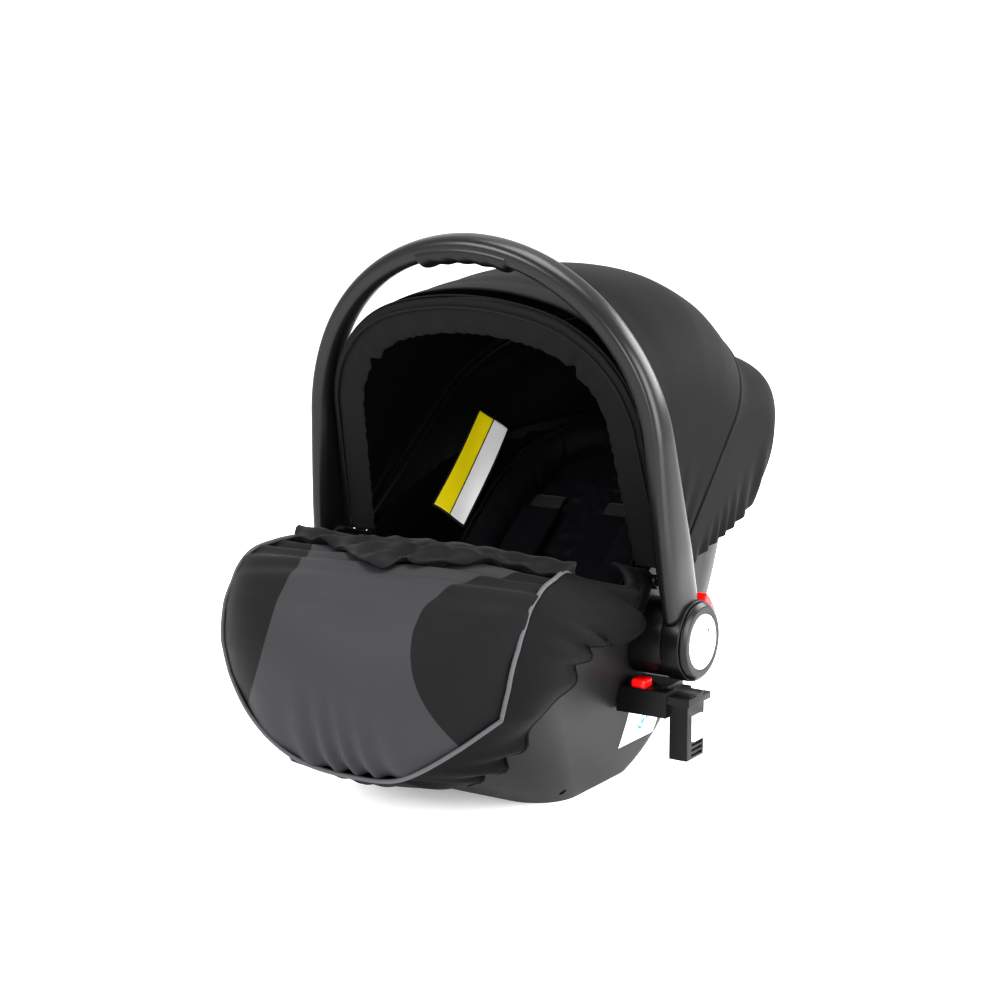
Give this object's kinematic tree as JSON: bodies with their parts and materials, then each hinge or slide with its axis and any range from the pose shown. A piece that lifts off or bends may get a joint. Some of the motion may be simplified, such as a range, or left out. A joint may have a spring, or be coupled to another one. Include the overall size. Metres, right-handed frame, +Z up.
{
  "type": "infant car seat",
  "caption": "Rearward-facing infant car seat with carry handle, fold-back canopy, harness, padded footmuff and stroller adapters.",
  "frame": {"origin": "centre of the flat underside of the shell, on the floor", "axes": "+Z up, -Y to the child's feet, +X to the child's left-hand side as seated"},
  "size_m": [0.452, 0.5884, 0.5339],
  "materials": {
    "shell_plastic": "satin moulded",
    "cloth_muff": "coated cloth",
    "cloth_canopy": "plain weave",
    "cloth_seat": "padded weave",
    "webbing": "woven webbing",
    "red_plastic": "gloss",
    "white_plastic": "satin",
    "side_label": "printed film",
    "side_tag": "sewn tag",
    "foam": "closed-cell foam",
    "steel": "zinc plated",
    "grip_rubber": "soft touch",
    "handle_plastic": "satin",
    "bow_steel": "coated wire",
    "black_plastic": "satin"
  },
  "bodies": {
    "seat": {"adapter_left": "black_plastic", "adapter_right": "black_plastic", "adjuster_body": "black_plastic", "adjuster_strap": "webbing", "buckle_body": "black_plastic", "canopy_clip_left": "black_plastic", "canopy_clip_right": "black_plastic", "canopy_rear_panel": "cloth_canopy", "crotch_pad": "cloth_seat", "crotch_strap": "webbing", "energy_foam": "foam", "footmuff": "cloth_muff", "handle_mount_left": "black_plastic", "handle_mount_right": "black_plastic", "harness_anchor": "steel", "head_hugger": "cloth_seat", "lap_strap_left": "webbing", "lap_strap_right": "webbing", "lock_spring_left": "steel", "lock_spring_right": "steel", "pivot_bolt_left": "steel", "pivot_bolt_right": "steel", "seat_insert": "cloth_seat", "seat_liner": "cloth_seat", "seat_shell": "shell_plastic", "seat_tub": "black_plastic", "shoulder_pad_left": "cloth_seat", "shoulder_pad_right": "cloth_seat", "shoulder_strap_left": "webbing", "shoulder_strap_right": "webbing", "side_label": "side_label", "side_tag": "side_tag", "tongue_left": "steel", "tongue_right": "steel"},
    "handle": {"handle_frame": "handle_plastic", "handle_grip": "grip_rubber", "hub_cap_left": "black_plastic", "hub_cap_right": "black_plastic", "hub_disc_left": "white_plastic", "hub_disc_right": "white_plastic"},
    "canopy_rear": {"canopy_rear_bow": "bow_steel", "canopy_rear_seam": "cloth_canopy"},
    "canopy_front": {"canopy_front_bow": "bow_steel", "canopy_hem": "cloth_canopy", "canopy_front_panel": "cloth_canopy"},
    "buckle_button": {"buckle_button": "red_plastic"},
    "adjuster_button": {"adjuster_button": "red_plastic"},
    "release_right": {"handle_button_right": "red_plastic"},
    "gear_right": {"lock_gear_right": "black_plastic"},
    "latch_right": {"adapter_latch_right": "white_plastic"},
    "lever_right": {"adapter_lever_right": "red_plastic"},
    "release_left": {"handle_button_left": "red_plastic"},
    "gear_left": {"lock_gear_left": "black_plastic"},
    "latch_left": {"adapter_latch_left": "white_plastic"},
    "lever_left": {"adapter_lever_left": "red_plastic"}
  },
  "joints": [
    {"name": "handle_swing", "type": "hinge", "parent": "seat", "child": "handle", "pos_m": [0, 0.011, 0.155], "axis": [-1, 0, 0], "range_deg": [-76, 99]},
    {"name": "canopy_rear_fold", "type": "hinge", "parent": "seat", "child": "canopy_rear", "pos_m": [0, 0.005, 0.208], "axis": [-1, 0, 0], "range_deg": [0, 6], "deforming": ["canopy_rear_panel"]},
    {"name": "canopy_front_fold", "type": "hinge", "parent": "canopy_rear", "child": "canopy_front", "pos_m": [0, 0.005, 0.208], "axis": [-1, 0, 0], "range_deg": [0, 48], "deforming": ["canopy_front_panel"]},
    {"name": "buckle_press", "type": "slide", "parent": "seat", "child": "buckle_button", "axis": [0, 0, -1], "range_m": [0, 0.003], "stiffness_N_per_m": 600},
    {"name": "adjuster_press", "type": "slide", "parent": "seat", "child": "adjuster_button", "axis": [0, 0, -1], "range_m": [0, 0.003], "stiffness_N_per_m": 600},
    {"name": "handle_release_right", "type": "slide", "parent": "handle", "child": "release_right", "axis": [0, -0.8788, -0.4772], "range_m": [0, 0.0035], "stiffness_N_per_m": 900},
    {"name": "lock_draw_right", "type": "slide", "parent": "handle", "child": "gear_right", "axis": [-1, 0, 0], "range_m": [0, 0.006], "deforming": ["lock_spring_right"]},
    {"name": "latch_press_right", "type": "slide", "parent": "seat", "child": "latch_right", "axis": [-1, 0, 0], "range_m": [0, 0.004], "stiffness_N_per_m": 600},
    {"name": "lever_press_right", "type": "slide", "parent": "seat", "child": "lever_right", "axis": [0, 0, -1], "range_m": [0, 0.003], "stiffness_N_per_m": 600},
    {"name": "handle_release_left", "type": "slide", "parent": "handle", "child": "release_left", "axis": [0, -0.8788, -0.4772], "range_m": [0, 0.0035], "stiffness_N_per_m": 900},
    {"name": "lock_draw_left", "type": "slide", "parent": "handle", "child": "gear_left", "axis": [1, 0, 0], "range_m": [0, 0.006], "deforming": ["lock_spring_left"]},
    {"name": "latch_press_left", "type": "slide", "parent": "seat", "child": "latch_left", "axis": [1, 0, 0], "range_m": [0, 0.004], "stiffness_N_per_m": 600},
    {"name": "lever_press_left", "type": "slide", "parent": "seat", "child": "lever_left", "axis": [0, 0, -1], "range_m": [0, 0.003], "stiffness_N_per_m": 600}
  ],
  "couplings": [
    {"joint": "lock_draw_right", "follows": "handle_release_right", "ratio": 1.7143},
    {"joint": "lock_draw_left", "follows": "handle_release_left", "ratio": 1.7143}
  ]
}
